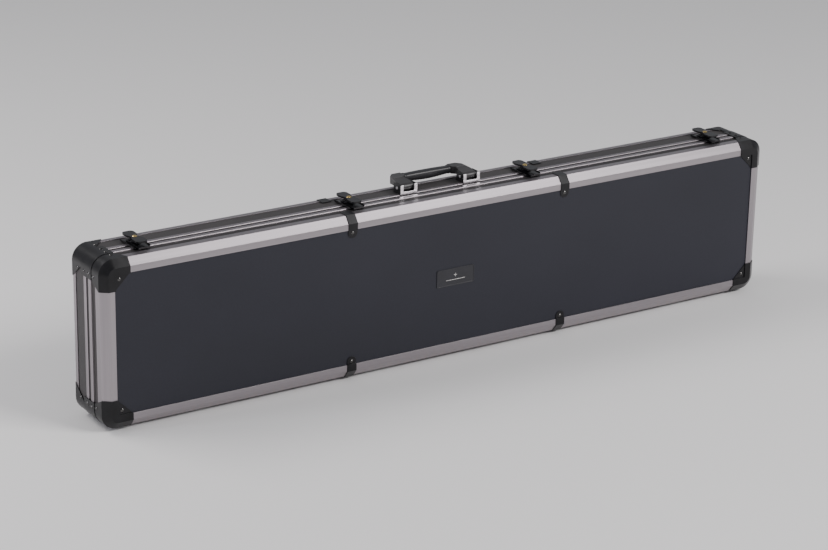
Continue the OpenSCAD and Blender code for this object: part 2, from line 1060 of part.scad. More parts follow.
module handle_pins() {
    color("silver")
        for (x = [-bracket_x, bracket_x])
            translate([x - bracket_w / 2 - pin_head, pivot_y, pivot_z])
                rotate([0, 90, 0])
                    cylinder(h = bracket_w + 2 * pin_head, r = handle_pin_r);
}

// Outline of the right arm's strap seen from above: full width in the bracket, narrower at the grip
module arm_plan() {
    polygon([[bracket_x - arm_w / 2, pivot_y - 1], [bracket_x + arm_w / 2, pivot_y - 1],
        [bracket_x + arm_w / 2, shoulder_y], [bracket_x + block_out, grip_y - grip_w / 2],
        [grip_half + block_front + 2, grip_y - grip_w / 2], [grip_half + block_front, shoulder_y + 2],
        [bracket_x - arm_w / 2, shoulder_y]]);
}

// Outline of the strap seen from the side
module arm_profile() {
    polygon([[pivot_y - 1, pivot_z + knuckle_outer_r - 0.1], [pivot_y - 1, pivot_z],
        [shoulder_y + block_front, pivot_z + 0.5],
        [grip_y - grip_w / 2, grip_z - 4], [grip_y - grip_w / 2, grip_z + grip_t / 2 - 1]]);
}

// Corner block that takes the grip's end, seen from above
module block_plan() {
    inner = grip_half + fit_gap;
    front = grip_y - grip_w / 2;
    outer = bracket_x + block_out;
    polygon([[inner, front + 1], [inner + block_front + 1.9, front - block_front],
        [outer, front - block_front], [outer, grip_y - 2], [outer - block_corner, grip_y + grip_w / 2 - 1],
        [inner, grip_y + grip_w / 2 - 1]]);
}

// Arm on the right: knuckle on the pivot, cranked strap, corner block
module handle_arm() {
    difference() {
        union() {
            translate([bracket_x - arm_w / 2, pivot_y, pivot_z])
                rotate([0, 90, 0])
                    cylinder(h = arm_w, r = knuckle_outer_r);
            intersection() {
                rotate([90, 0, 90])
                    linear_extrude(2 * bracket_x)
                        arm_profile();
                linear_extrude(2 * z_top)
                    arm_plan();
            }
            translate([0, 0, grip_z - grip_t / 2 + 1])
                linear_extrude(grip_t - 2)
                    block_plan();
        }
        translate([bracket_x - arm_w, pivot_y, pivot_z])
            rotate([0, 90, 0])
                cylinder(h = 2 * arm_w, r = handle_pin_r + run_gap);
    }
}

module handle_arms() {
    color(steel_black) {
        handle_arm();
        mirror([1, 0, 0])
            handle_arm();
    }
}

module handle_grip() {
    color(rubber_black)
        translate([-grip_half, grip_y, grip_z])
            rotate([90, 0, 90])
                linear_extrude(2 * grip_half)
                    round_rect(grip_w, grip_t, grip_r);
}

// ---- latches ----

// Pressed base plate with upturned edges, drawn at x = 0 with its spindle hole at y = 0
module latch_base() {
    front = y_part + part_gap / 2 + edge_gap - latch_y;
    difference() {
        union() {
            translate([-latch_w / 2, front, 0])
                cube([latch_w, latch_rear - front, latch_base_t]);
            for (side = [0, 1])
                mirror([side, 0, 0])
                    translate([latch_w / 2 - latch_base_t, front, 0])
                        cube([latch_base_t, latch_rear - front, hook_z + hook_t - latch_z]);
        }
        cylinder(h = 3 * latch_base_t, r = spindle_r + run_gap, center = true);
        translate([0, base_rivet_y, 0])
            rivet_hole();
    }
}

module latch_bases() {
    color(steel_black)
        for (x = latch_places)
            translate([x, latch_y, latch_z])
                latch_base();
}

module latch_spindles() {
    top = wing_z + wing_t + cover_gap;
    head_r = 4.6;
    head_h = 2;
    cap_r = (head_r * head_r + head_h * head_h) / (2 * head_h);
    color("gold")
        for (x = latch_places) {
            translate([x, latch_y, latch_z])
                cylinder(h = top - latch_z + eps, r = spindle_r);
            translate([x, latch_y, top])
                rotate_extrude()
                    intersection() {
                        square([head_r, head_h]);
                        translate([0, head_h - cap_r])
                            circle(cap_r);
                    }
        }
}

// Cam plate with its pin, hub and two-lobed wing, turning on the spindle
module latch_wing(x) {
    lobe_r = 6.5;
    color(steel_black)
        translate([x, latch_y, 0])
            difference() {
                union() {
                    translate([0, 0, cam_z])
                        cylinder(h = cam_t, r = cam_r);
                    translate([0, cam_throw, hook_z + 0.2])
                        cylinder(h = cam_z - hook_z, r = cam_pin_r);
                    translate([0, 0, cam_z])
                        cylinder(h = wing_z - cam_z + eps, r = waist_w / 2);
                    translate([0, 0, wing_z])
                        linear_extrude(wing_t)
                            for (turn = [0, 180])
                                rotate([0, 0, turn])
                                    wing_lobe(lobe_r);
                }
                translate([0, 0, hook_z])
                    cylinder(h = hole_l, r = spindle_r + run_gap);
            }
}

module wing_lobe(r) {
    for (side = [-1, 1])
        translate([side * (wing_w / 2 - r), wing_reach - r])
            circle(r);
    translate([r - wing_w / 2, wing_full - 1])
        square([wing_w - 2 * r, wing_reach - wing_full + 1]);
    polygon([[-waist_w / 2, 0], [waist_w / 2, 0], [waist_w / 2, waist_end], [wing_w / 2, wing_full],
        [wing_w / 2, wing_reach - r], [-wing_w / 2, wing_reach - r], [-wing_w / 2, wing_full],
        [-waist_w / 2, waist_end]]);
}

module latch_wing_1() {
    latch_wing(latch_places[0]);
}

module latch_wing_2() {
    latch_wing(latch_places[1]);
}

module latch_wing_3() {
    latch_wing(latch_places[2]);
}

module latch_wing_4() {
    latch_wing(latch_places[3]);
}

// Sliding hook: a plate with an opening for spindle and cam pin, and a tooth over the keeper's lip
module latch_hook(x) {
    slack = 0.75;
    color(steel_black)
        translate([x, latch_y, hook_z])
            difference() {
                union() {
                    translate([-hook_w / 2, hook_front, 0])
                        cube([hook_w, hook_rear - hook_front, hook_t]);
                    translate([-hook_w / 2, hook_front, keeper_lip_z() + move_gap - hook_z])
                        cube([hook_w, tooth_t, hook_z - keeper_lip_z() - move_gap + eps]);
                }
                translate([0, 0, -eps]) {
                    linear_extrude(hook_t + 1) {
                        for (y = [0, 2 * cam_throw])
                            translate([0, y])
                                circle(spindle_r + move_gap);
                        translate([-spindle_r - move_gap, 0])
                            square([2 * (spindle_r + move_gap), 2 * cam_throw]);
                        translate([-cam_throw - cam_pin_r - move_gap, cam_throw - cam_pin_r - slack])
                            square([2 * (cam_throw + cam_pin_r + move_gap), 2 * (cam_pin_r + slack)]);
                    }
                }
            }
}

module latch_hook_1() {
    latch_hook(latch_places[0]);
}

module latch_hook_2() {
    latch_hook(latch_places[1]);
}

module latch_hook_3() {
    latch_hook(latch_places[2]);
}

module latch_hook_4() {
    latch_hook(latch_places[3]);
}

// ---- nodes ----

lid_panel();
lid_rail_top();
lid_rail_bottom();
lid_rail_left();
lid_rail_right();
lid_corner_top_left();
lid_corner_top_right();
lid_corner_bottom_left();
lid_corner_bottom_right();
lid_clips();
lid_rivets();
badge_plate();
lid_foam();
rim_seal();
latch_keepers();
lid_hinge_leaves();
back_panel();
back_rail_top();
back_rail_bottom();
back_rail_left();
back_rail_right();
side_panel_top();
side_panel_bottom();
side_panel_left();
side_panel_right();
closure_rail_top();
closure_rail_bottom();
closure_rail_left();
closure_rail_right();
back_corner_top_left();
back_corner_top_right();
back_corner_bottom_left();
back_corner_bottom_right();
corner_joiners();
back_clips();
back_rivets();
base_hinge_leaves();
hinge_pins();
foam_floor();
foam_walls();
tube_saddles();
feet();
foot_screws();
handle_bracket_left();
handle_bracket_right();
handle_pins();
handle_arms();
handle_grip();
latch_bases();
latch_spindles();
latch_wing_1();
latch_wing_2();
latch_wing_3();
latch_wing_4();
latch_hook_1();
latch_hook_2();
latch_hook_3();
latch_hook_4();
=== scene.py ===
import json
import math
import bmesh
import bpy
from mathutils import Matrix, Vector, noise


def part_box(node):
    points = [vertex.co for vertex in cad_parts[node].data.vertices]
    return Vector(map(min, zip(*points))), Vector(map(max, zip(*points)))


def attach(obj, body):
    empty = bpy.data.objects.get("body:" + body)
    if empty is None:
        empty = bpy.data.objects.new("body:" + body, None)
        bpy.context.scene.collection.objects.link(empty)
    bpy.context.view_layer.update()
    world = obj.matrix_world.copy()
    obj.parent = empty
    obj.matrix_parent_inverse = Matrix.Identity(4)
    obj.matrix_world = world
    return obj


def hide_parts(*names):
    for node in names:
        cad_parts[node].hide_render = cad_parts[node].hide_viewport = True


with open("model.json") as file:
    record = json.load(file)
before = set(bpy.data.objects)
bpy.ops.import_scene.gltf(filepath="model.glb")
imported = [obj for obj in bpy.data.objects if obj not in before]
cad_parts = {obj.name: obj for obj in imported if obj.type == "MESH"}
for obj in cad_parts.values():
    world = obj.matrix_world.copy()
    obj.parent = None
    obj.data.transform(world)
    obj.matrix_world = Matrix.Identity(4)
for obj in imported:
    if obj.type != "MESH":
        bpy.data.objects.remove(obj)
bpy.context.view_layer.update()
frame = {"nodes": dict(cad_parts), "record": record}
nodes = frame["nodes"]
print("frame loaded:", len(nodes), "nodes")

camera = {
    "place": (-2.4510, -3.6927, 1.7624),
    "azimuth": -33.019,
    "tilt": 69.909,
    "roll": 1.060,
    "lens": 113.235,
}

studio = {
    "floorSize": 30.0,
    "floorColor": (0.84, 0.83, 0.825),
    "worldColor": (0.80, 0.82, 0.86),
    "worldStrength": 0.46,
    # name: place, aim, width, height, watts, colour
    "topBox": ((-2.1, 1.5, 2.6), (-0.4, 0.0, 0.25), 2.0, 1.0, 50, (1.0, 0.97, 0.96)),
    "frontBox": ((1.9, -3.4, 2.9), (0.0, 0.0, 0.15), 2.2, 1.4, 175, (1.0, 0.98, 0.98)),
    "leftStrip": ((-3.4, 0.5, 0.9), (-0.7, 0.0, 0.15), 0.5, 1.6, 34, (0.93, 0.92, 1.0)),
}


def placeCamera():
    data = bpy.data.cameras.new("camera")
    data.sensor_width = 36
    data.lens = camera["lens"]
    data.clip_end = 100
    obj = bpy.data.objects.new("camera", data)
    bpy.context.scene.collection.objects.link(obj)
    turn = Matrix.Rotation(math.radians(camera["azimuth"]), 4, "Z")
    tilt = Matrix.Rotation(math.radians(camera["tilt"]), 4, "X")
    roll = Matrix.Rotation(math.radians(camera["roll"]), 4, "Z")
    obj.matrix_world = Matrix.Translation(camera["place"]) @ turn @ tilt @ roll
    bpy.context.scene.camera = obj


def softbox(name):
    place, aim, width, height, watts, color = studio[name]
    data = bpy.data.lights.new(name, "AREA")
    data.shape = "RECTANGLE"
    data.size, data.size_y = width, height
    data.energy = watts
    data.color = color
    obj = bpy.data.objects.new(name, data)
    bpy.context.scene.collection.objects.link(obj)
    look = (Vector(aim) - Vector(place)).to_track_quat("-Z", "Y")
    obj.matrix_world = Matrix.Translation(place) @ look.to_matrix().to_4x4()


def studioWorld():
    world = bpy.data.worlds.new("studio")
    world.use_nodes = True
    back = world.node_tree.nodes["Background"]
    back.inputs["Color"].default_value = (*studio["worldColor"], 1)
    back.inputs["Strength"].default_value = studio["worldStrength"]
    bpy.context.scene.world = world


class Wire:  # one socket of a node tree, so that a pattern is written as an expression
    def __init__(self, graph, socket):
        self.graph = graph
        self.socket = socket

    def math(self, operation, other):
        return self.graph.add("ShaderNodeMath", {"operation": operation}, {0: self, 1: other})[0]

    def __add__(self, other):
        return self.math("ADD", other)

    def __mul__(self, other):
        return self.math("MULTIPLY", other)

    __radd__ = __add__
    __rmul__ = __mul__

    def clamped(self, low, high):
        span = {"From Min": low, "From Max": high}
        return self.graph.add("ShaderNodeMapRange", {"clamp": True}, {"Value": self, **span})[0]


class Graph:
    def __init__(self, name):
        self.material = bpy.data.materials.new(name)
        self.material.use_nodes = True
        self.tree = self.material.node_tree
        self.tree.nodes.clear()

    def add(self, kind, settings=None, values=None):
        node = self.tree.nodes.new(kind)
        for key, value in (settings or {}).items():
            setattr(node, key, value)
        for key, value in (values or {}).items():
            if isinstance(value, Wire):
                self.tree.links.new(value.socket, node.inputs[key])
            else:
                node.inputs[key].default_value = value
        return [Wire(self, out) for out in node.outputs if out.enabled]

    def place(self):
        return self.add("ShaderNodeTexCoord")[3]

    def scaled(self, scale):
        return self.add("ShaderNodeMapping", None, {"Vector": self.place(), "Scale": scale})[0]

    def noise(self, scale, detail=3.0, roughness=0.55):
        values = {"Vector": self.scaled(scale), "Scale": 1.0, "Detail": detail, "Roughness": roughness}
        return self.add("ShaderNodeTexNoise", None, values)[0]

    def cells(self, scale):
        values = {"Vector": self.scaled((scale,) * 3), "Scale": 1.0}
        return self.add("ShaderNodeTexVoronoi", {"feature": "F1"}, values)[0]

    def mix(self, mask, first, second):
        values = {0: mask, 6: first, 7: second}
        return self.add("ShaderNodeMix", {"data_type": "RGBA"}, values)[0]

    def softEdge(self, radius):
        return self.add("ShaderNodeBevel", {"samples": 4}, {"Radius": radius})[0]

    def bump(self, height, distance, strength=1.0, under=None):
        values = {"Height": height, "Distance": distance, "Strength": strength}
        if under is not None:
            values["Normal"] = under
        return self.add("ShaderNodeBump", None, values)[0]

    def finish(self, **sockets):
        names = {"color": "Base Color", "roughness": "Roughness", "metallic": "Metallic", "normal": "Normal",
                 "specular": "Specular IOR Level",
                 "sheen": "Sheen Weight", "sheenRoughness": "Sheen Roughness"}
        values = {names[key]: value for key, value in sockets.items()}
        shader = self.add("ShaderNodeBsdfPrincipled", None, values)[0]
        self.add("ShaderNodeOutputMaterial", None, {"Surface": shader})
        return self.material


def rgb(red, green, blue):
    return (red, green, blue, 1)


metalLook = {
    "light": rgb(0.405, 0.370, 0.392),
    "dark": rgb(0.325, 0.297, 0.313),
    # painted shade: the near-black colour painted onto the frame in the slit and the groove
    "strip": rgb(0.085, 0.079, 0.080),
    "roughness": 0.29,
    "streaks": 900.0,  # fine streaks across the brushing
    "streakRun": 3.0,  # and along it
    "drift": 90.0,  # slow changes of tone across the brushing
    "driftRun": 1.2,
    "edge": 0.0005,
}

# places across the depth, from the parting plane, where painted shade darkens the frame metal: the lid's rim
# strip with the slit, and the ridges' groove
tongueLength = 0.004  # the closure rails' tongue starts this far in front of the parting plane
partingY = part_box("closure_rail_left")[0].y + tongueLength
stripBands = ((-0.0107, 0.0050), (0.0145, 0.0225))


def brushedFrame(name, along):
    # long brush streaks that run along the extrusion, under a clear anodised layer
    g = Graph(name)
    look = metalLook
    stretch = tuple(look["streakRun"] if axis == along else look["streaks"] for axis in "xyz")
    wide = tuple(look["driftRun"] if axis == along else look["drift"] for axis in "xyz")
    streak = g.noise(stretch, 2.0)
    drift = g.noise(wide, 2.0)
    smudge = g.noise((9, 9, 9), 4.0)
    tone = (streak * 0.45 + drift * 0.55).clamped(0.3, 0.7)
    depth = g.add("ShaderNodeSeparateXYZ", None, {"Vector": g.place()})[1]
    # painted shade: a mask that is 1 inside the slit and groove bands, where the frame is painted dark
    shaded = 0.0
    for first, last in stripBands:
        past = depth.math("GREATER_THAN", partingY + first)
        shaded = past * depth.math("LESS_THAN", partingY + last) + shaded
    rough = metalLook["roughness"] + streak * 0.10 + smudge * 0.09 + shaded * 0.16
    color = g.mix(tone, metalLook["dark"], metalLook["light"])
    normal = g.bump(streak, 0.00004, 0.35, g.softEdge(metalLook["edge"]))
    return g.finish(color=g.mix(shaded, color, metalLook["strip"]), roughness=rough,
                    metallic=1.0, normal=normal)


panelLook = {
    "dark": rgb(0.0108, 0.0113, 0.0185),
    "light": rgb(0.0172, 0.0176, 0.0275),
    "weave": 2100.0,
    "roughness": 0.45,
}


def panelLaminate():
    # fine crossed weave pressed into the laminate, with slow cloudy changes of tone
    g = Graph("panel_laminate")
    weave = panelLook["weave"]
    parts = g.add("ShaderNodeSeparateXYZ", None, {"Vector": g.place()})
    across = (parts[0] * weave).math("SINE", 0.0)
    upward = (parts[2] * weave).math("SINE", 0.0)
    cross = across * upward
    grain = g.noise((1500, 1500, 1500), 2.0)
    cloud = g.noise((2.2, 2.2, 3.0), 3.0)
    speck = g.noise((260, 260, 260), 2.0)
    tone = (cloud * 0.75 + speck * 0.25).clamped(0.35, 0.68)
    rough = panelLook["roughness"] + cloud * 0.08 + grain * 0.05
    normal = g.bump(cross * 0.6 + grain * 0.4, 0.00009, 0.55)
    return g.finish(color=g.mix(tone, panelLook["dark"], panelLook["light"]), roughness=rough,
                    specular=0.42, normal=normal)


sideLook = {
    "dark": rgb(0.026, 0.0235, 0.024),
    "light": rgb(0.052, 0.047, 0.047),
    "pebble": 900.0,
    "roughness": 0.5,
}


def sideLaminate():
    # pebbled grain with cloudy changes of tone, the pebble tops painted a little lighter as a painted
    # highlight
    g = Graph("side_laminate")
    pebble = g.cells(sideLook["pebble"])
    cloud = g.noise((14, 14, 14), 3.0)
    # painted highlight: the pebble tops are lighter, over a cloudy random tone
    tone = (pebble * 0.8 + cloud * 0.5).clamped(0.35, 0.95)
    normal = g.bump(pebble, 0.00022, 0.7, g.softEdge(0.0004))
    return g.finish(color=g.mix(tone, sideLook["dark"], sideLook["light"]),
                    roughness=sideLook["roughness"] + cloud * 0.1, specular=0.45, normal=normal)


def blackSteel(name, gloss, edge):
    # stove enamel with a faint orange peel, rubbed to bare metal in a few spots
    g = Graph(name)
    peel = g.noise((700, 700, 700), 2.0)
    cloud = g.noise((60, 60, 60), 4.0)
    worn = g.noise((420, 420, 420), 5.0).clamped(0.72, 0.80)
    color = g.mix(cloud.clamped(0.35, 0.7), rgb(0.0045, 0.0043, 0.0052), rgb(0.010, 0.0095, 0.011))
    color = g.mix(worn * 0.35, color, rgb(0.16, 0.15, 0.15))
    normal = g.bump(peel, 0.00003, 0.5, g.softEdge(edge))
    return g.finish(color=color, roughness=gloss + cloud * 0.14, metallic=0.0, specular=0.3, normal=normal)


def brightMetal(name, light, dark, roughness, grain=320.0, edge=0.0003):
    g = Graph(name)
    cloud = g.noise((grain,) * 3, 4.0)
    spots = g.noise((40, 40, 40), 3.0)
    normal = g.bump(cloud, 0.000015, 0.4, g.softEdge(edge))
    return g.finish(color=g.mix(spots.clamped(0.35, 0.7), light, dark),
                    roughness=roughness + cloud * 0.08, metallic=1.0, normal=normal)


def mouldedPlastic(name, dark, light, roughness, grain):
    g = Graph(name)
    spark = g.noise((grain,) * 3, 3.0)
    cloud = g.noise((35, 35, 35), 3.0)
    normal = g.bump(spark, 0.00006, 0.6, g.softEdge(0.0006))
    return g.finish(color=g.mix(cloud.clamped(0.3, 0.7), dark, light), roughness=roughness + spark * 0.12,
                    specular=0.5, normal=normal)


def blackRubber():
    g = Graph("black_rubber")
    dust = g.noise((300, 300, 300), 5.0)
    normal = g.bump(dust, 0.00008, 0.6)
    return g.finish(color=g.mix(dust.clamped(0.5, 0.75), rgb(0.012, 0.012, 0.012), rgb(0.04, 0.039, 0.037)),
                    roughness=0.72 + dust * 0.12, specular=0.35, normal=normal)


foamLook = {
    # painted shade: the dark colour at the bottom of each pore
    "poreShade": rgb(0.008, 0.008, 0.009),
    "top": rgb(0.046, 0.046, 0.051),
    "pores": 760.0,
}


def openCellFoam():
    # open pores of two sizes, their pits painted dark as painted shade, in a matte, slightly furry surface
    g = Graph("foam")
    big = g.cells(foamLook["pores"])
    small = g.cells(foamLook["pores"] * 2.3)
    cloud = g.noise((22, 22, 22), 4.0)
    pores = big * 0.65 + small * 0.35
    # painted shade: darkest at the pore centres, with a cloudy random tone over it
    tone = (pores + cloud * 0.35).clamped(0.35, 0.95)
    normal = g.bump(pores, 0.0006, 0.8)
    return g.finish(color=g.mix(tone, foamLook["poreShade"], foamLook["top"]), roughness=0.93,
                    specular=0.2, sheen=0.25, sheenRoughness=0.5, normal=normal)


def paleFloor():
    g = Graph("floor")
    cloud = g.noise((0.8, 0.8, 0.8), 3.0)
    base = studio["floorColor"]
    worn = rgb(*(0.97 * part for part in base))
    return g.finish(color=g.mix(cloud, rgb(*base), worn), roughness=0.9, specular=0.2)


looks = {
    "frameX": brushedFrame("frame_metal_x", "x"),
    "frameZ": brushedFrame("frame_metal_z", "z"),
    "panel": panelLaminate(),
    "side": sideLaminate(),
    "steel": blackSteel("black_steel", 0.24, 0.00025),
    "latch": blackSteel("latch_steel", 0.16, 0.00025),
    "badge": mouldedPlastic("badge_metal", rgb(0.0125, 0.0125, 0.0165), rgb(0.019, 0.019, 0.025),
                            0.40, 900.0),
    "rivet": brightMetal("rivet_steel", rgb(0.115, 0.112, 0.110), rgb(0.07, 0.068, 0.067), 0.10),
    "mark": brightMetal("badge_mark", rgb(0.56, 0.55, 0.54), rgb(0.42, 0.41, 0.40), 0.3),
    "zinc": brightMetal("zinc_steel", rgb(0.55, 0.55, 0.55), rgb(0.42, 0.42, 0.43), 0.30),
    "chrome": brightMetal("chrome", rgb(0.96, 0.95, 0.96), rgb(0.90, 0.89, 0.91), 0.30, 500.0, 0.0003),
    "brass": brightMetal("brass", rgb(0.80, 0.60, 0.26), rgb(0.66, 0.47, 0.18), 0.16),
    "arm": mouldedPlastic("arm_plastic", rgb(0.022, 0.021, 0.022), rgb(0.036, 0.034, 0.035), 0.32, 900.0),
    "grip": mouldedPlastic("grip_plastic", rgb(0.012, 0.012, 0.014), rgb(0.020, 0.020, 0.023), 0.32, 1400.0),
    "rubber": blackRubber(),
    "foam": openCellFoam(),
}
print("materials made:", len(looks))


def dress(obj, *names):
    obj.data.materials.clear()
    for name in names:
        obj.data.materials.append(looks[name])


def dressNodes():
    for name, obj in nodes.items():
        if "rail" in name:
            look = "frameX" if name.endswith(("top", "bottom")) else "frameZ"
        elif name in ("lid_panel", "back_panel"):
            look = "panel"
        elif name.startswith("side_panel"):
            look = "side"
        elif "corner" in name or "clips" in name:
            look = "steel"
        elif "rivets" in name:
            look = "rivet"
        elif "foam" in name or "saddle" in name:
            look = "foam"
        elif name in ("rim_seal", "feet"):
            look = "rubber"
        elif "hinge" in name or name == "foot_screws":
            look = "zinc"
        elif name == "handle_pins":
            look = "chrome"
        elif name == "latch_spindles":
            look = "brass"
        elif name.startswith("latch"):
            look = "latch"
        else:
            look = "steel"
        for slotIndex in range(max(1, len(obj.material_slots))):
            if obj.material_slots:
                obj.material_slots[slotIndex].material = looks[look]
            else:
                obj.data.materials.append(looks[look])


sharpAngle = 38  # degrees: edges steeper than this stay crisp


def newPiece(name, mesh, look, body, replaced=()):
    obj = bpy.data.objects.new(name, mesh)
    bpy.context.scene.collection.objects.link(obj)
    dress(obj, *([look] if isinstance(look, str) else look))
    if not mesh.has_custom_normals:
        mesh.shade_smooth()
        mesh.set_sharp_from_angle(angle=math.radians(sharpAngle))
    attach(obj, body)
    if replaced:
        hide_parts(*replaced)
    return obj


def mergedCopy(node):
    # the node's loose triangles joined up, and its flat areas made single faces again
    mesh = bmesh.new()
    mesh.from_mesh(nodes[node].data)
    bmesh.ops.remove_doubles(mesh, verts=mesh.verts, dist=0.000004)
    bmesh.ops.dissolve_limit(mesh, angle_limit=math.radians(0.6), verts=mesh.verts, edges=mesh.edges)
    return mesh


def applied(mesh, modifiers):
    # run modifiers over a bare mesh and hand back the finished mesh
    obj = bpy.data.objects.new("work", mesh)
    bpy.context.scene.collection.objects.link(obj)
    for kind, settings in modifiers:
        modifier = obj.modifiers.new(kind.lower(), kind)
        for key, value in settings.items():
            setattr(modifier, key, value)
    done = bpy.data.meshes.new_from_object(obj.evaluated_get(bpy.context.evaluated_depsgraph_get()))
    bpy.data.objects.remove(obj)
    return done


def roundedCopy(node, width, segments=2, angle=32):
    work = mergedCopy(node)
    mesh = bpy.data.meshes.new(node + "_rounded")
    work.to_mesh(mesh)
    work.free()
    mesh.shade_smooth()
    mesh.set_sharp_from_angle(angle=math.radians(angle))
    settings = {"width": width, "segments": segments, "limit_method": "ANGLE", "harden_normals": True,
                "angle_limit": math.radians(angle), "use_clamp_overlap": True}
    return applied(mesh, [("BEVEL", settings)])


lidFoam = {
    "pitch": 0.038,
    "valley": 0.0075,
    "step": 0.0038,
}


def eggCrateTree():
    # Geometry Nodes: a slab whose inner face rises and falls in crossed sine waves
    tree = bpy.data.node_groups.new("egg_crate", "GeometryNodeTree")
    face = tree.interface
    face.new_socket("Geometry", in_out="OUTPUT", socket_type="NodeSocketGeometry")
    for name in ("Pitch", "Valley", "Inner Face", "Step"):
        face.new_socket(name, in_out="INPUT", socket_type="NodeSocketFloat")
    for name in ("Size", "Middle"):
        face.new_socket(name, in_out="INPUT", socket_type="NodeSocketVector")
    face.new_socket("Foam", in_out="INPUT", socket_type="NodeSocketMaterial")
    return tree


def wire(tree, kind, settings, values):
    node = tree.nodes.new(kind)
    for key, value in settings.items():
        setattr(node, key, value)
    for key, value in values.items():
        if hasattr(value, "is_output"):
            tree.links.new(value, node.inputs[key])
        else:
            node.inputs[key].default_value = value
    return node


def buildEggCrate():
    tree = eggCrateTree()
    given = tree.nodes.new("NodeGroupInput").outputs

    def calc(operation, first, second=0.0, third=None):
        values = {0: first, 1: second}
        if third is not None:
            values[2] = third
        return wire(tree, "ShaderNodeMath", {"operation": operation}, values).outputs[0]

    size = wire(tree, "ShaderNodeSeparateXYZ", {}, {0: given["Size"]}).outputs
    countX = calc("ADD", calc("DIVIDE", size[0], given["Step"]), 1.0)
    countZ = calc("ADD", calc("DIVIDE", size[2], given["Step"]), 1.0)
    slab = wire(tree, "GeometryNodeMeshCube", {}, {
        "Size": given["Size"], "Vertices X": countX, "Vertices Y": 3, "Vertices Z": countZ}).outputs["Mesh"]
    placed = wire(tree, "GeometryNodeTransform", {},
                  {"Geometry": slab, "Translation": given["Middle"]}).outputs[0]
    position = tree.nodes.new("GeometryNodeInputPosition").outputs[0]
    place = wire(tree, "ShaderNodeSeparateXYZ", {}, {0: position})
    turns = 2 * math.pi
    waveX = calc("SINE", calc("MULTIPLY", calc("DIVIDE", place.outputs[0], given["Pitch"]), turns))
    waveZ = calc("SINE", calc("MULTIPLY", calc("DIVIDE", place.outputs[2], given["Pitch"]), turns))
    wave = calc("MULTIPLY_ADD", calc("MULTIPLY", waveX, waveZ), 0.5, 0.5)
    depth = calc("MULTIPLY", wave, given["Valley"])
    onFace = calc("GREATER_THAN", place.outputs[1], calc("SUBTRACT", given["Inner Face"], 0.0002))
    shift = calc("MULTIPLY", calc("MULTIPLY", depth, onFace), -1.0)
    offset = wire(tree, "ShaderNodeCombineXYZ", {}, {1: shift}).outputs[0]
    moved = wire(tree, "GeometryNodeSetPosition", {}, {"Geometry": placed, "Offset": offset}).outputs[0]
    real = wire(tree, "GeometryNodeRealizeInstances", {}, {"Geometry": moved}).outputs[0]
    dressed = wire(tree, "GeometryNodeSetMaterial", {},
                   {"Geometry": real, "Material": given["Foam"]}).outputs[0]
    tree.links.new(dressed, tree.nodes.new("NodeGroupOutput").inputs[0])
    return tree


def grown(tree, name, values):
    # run a Geometry Nodes tree with its named inputs and keep the plain mesh
    seed = bpy.data.meshes.new(name + "_seed")
    seed.from_pydata([(0, 0, 0)], [], [])
    obj = bpy.data.objects.new(name, seed)
    bpy.context.scene.collection.objects.link(obj)
    modifier = obj.modifiers.new("nodes", "NODES")
    modifier.node_group = tree
    for item in tree.interface.items_tree:
        if item.in_out == "INPUT" and item.name in values:
            modifier[item.identifier] = values[item.name]
    done = bpy.data.meshes.new_from_object(obj.evaluated_get(bpy.context.evaluated_depsgraph_get()))
    bpy.data.objects.remove(obj)
    return done


def lidFoamPiece():
    low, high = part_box("lid_foam")
    mesh = grown(buildEggCrate(), "lid_foam_crate", {
        "Pitch": lidFoam["pitch"], "Valley": lidFoam["valley"], "Inner Face": high.y, "Step": lidFoam["step"],
        "Size": tuple(high - low), "Middle": tuple((low + high) / 2), "Foam": looks["foam"]})
    bm = bmesh.new()
    bm.from_mesh(mesh)
    bmesh.ops.remove_doubles(bm, verts=bm.verts, dist=0.00001)
    bmesh.ops.recalc_face_normals(bm, faces=bm.faces)
    bm.to_mesh(mesh)
    bm.free()
    piece = newPiece("lid_foam_crate", mesh, "foam", "lid", ["lid_foam"])
    mesh.set_sharp_from_angle(angle=math.radians(60))


baseFoam = {
    "edge": 0.0035,
    "step": 0.011,
    "longStep": 2.2,  # longer steps along the case
    "dent": 0.0011,
    "wave": 17.0,
    "shrink": 0.6,  # keeps most of each face inside the space cut for it
}


def softBlocks(node):
    # cut blocks of foam: rounded edges, faces that swell and sag by about a millimetre
    mesh = roundedCopy(node, baseFoam["edge"], 3, 30)
    bm = bmesh.new()
    bm.from_mesh(mesh)
    low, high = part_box(node)
    normalAxes = (Vector((1, 0, 0)), Vector((0, 1, 0)), Vector((0, 0, 1)))
    for axis, normal in enumerate(normalAxes):
        step = baseFoam["step"] * (baseFoam["longStep"] if axis == 0 else 1.0)
        for count in range(1, int((high[axis] - low[axis]) / step)):
            cut = low[axis] + count * step
            everything = bm.verts[:] + bm.edges[:] + bm.faces[:]
            bmesh.ops.bisect_plane(bm, geom=everything, dist=0.00002, plane_co=normal * cut, plane_no=normal)
    bmesh.ops.triangulate(bm, faces=[f for f in bm.faces if len(f.verts) > 4])
    bm.normal_update()
    for vert in bm.verts:
        push = noise.noise(vert.co * baseFoam["wave"]) - baseFoam["shrink"]
        vert.co += vert.normal * push * baseFoam["dent"]
    bm.to_mesh(mesh)
    bm.free()
    return mesh


def baseFoamPieces():
    for node in ("foam_floor", "foam_walls", "tube_saddles"):
        piece = newPiece(node + "_cut", softBlocks(node), "foam", "base", [node])


grip = {
    "sections": 72,
    "around": 40,
    "squareness": 2.7,
    "collar": 0.0042,
    "collarRise": 0.0007,
    "swell": 0.0008,
    "tip": 0.0012,
    "drop": 0.0030,
    "ribCount": 17,
    "ribDepth": 0.00045,
}


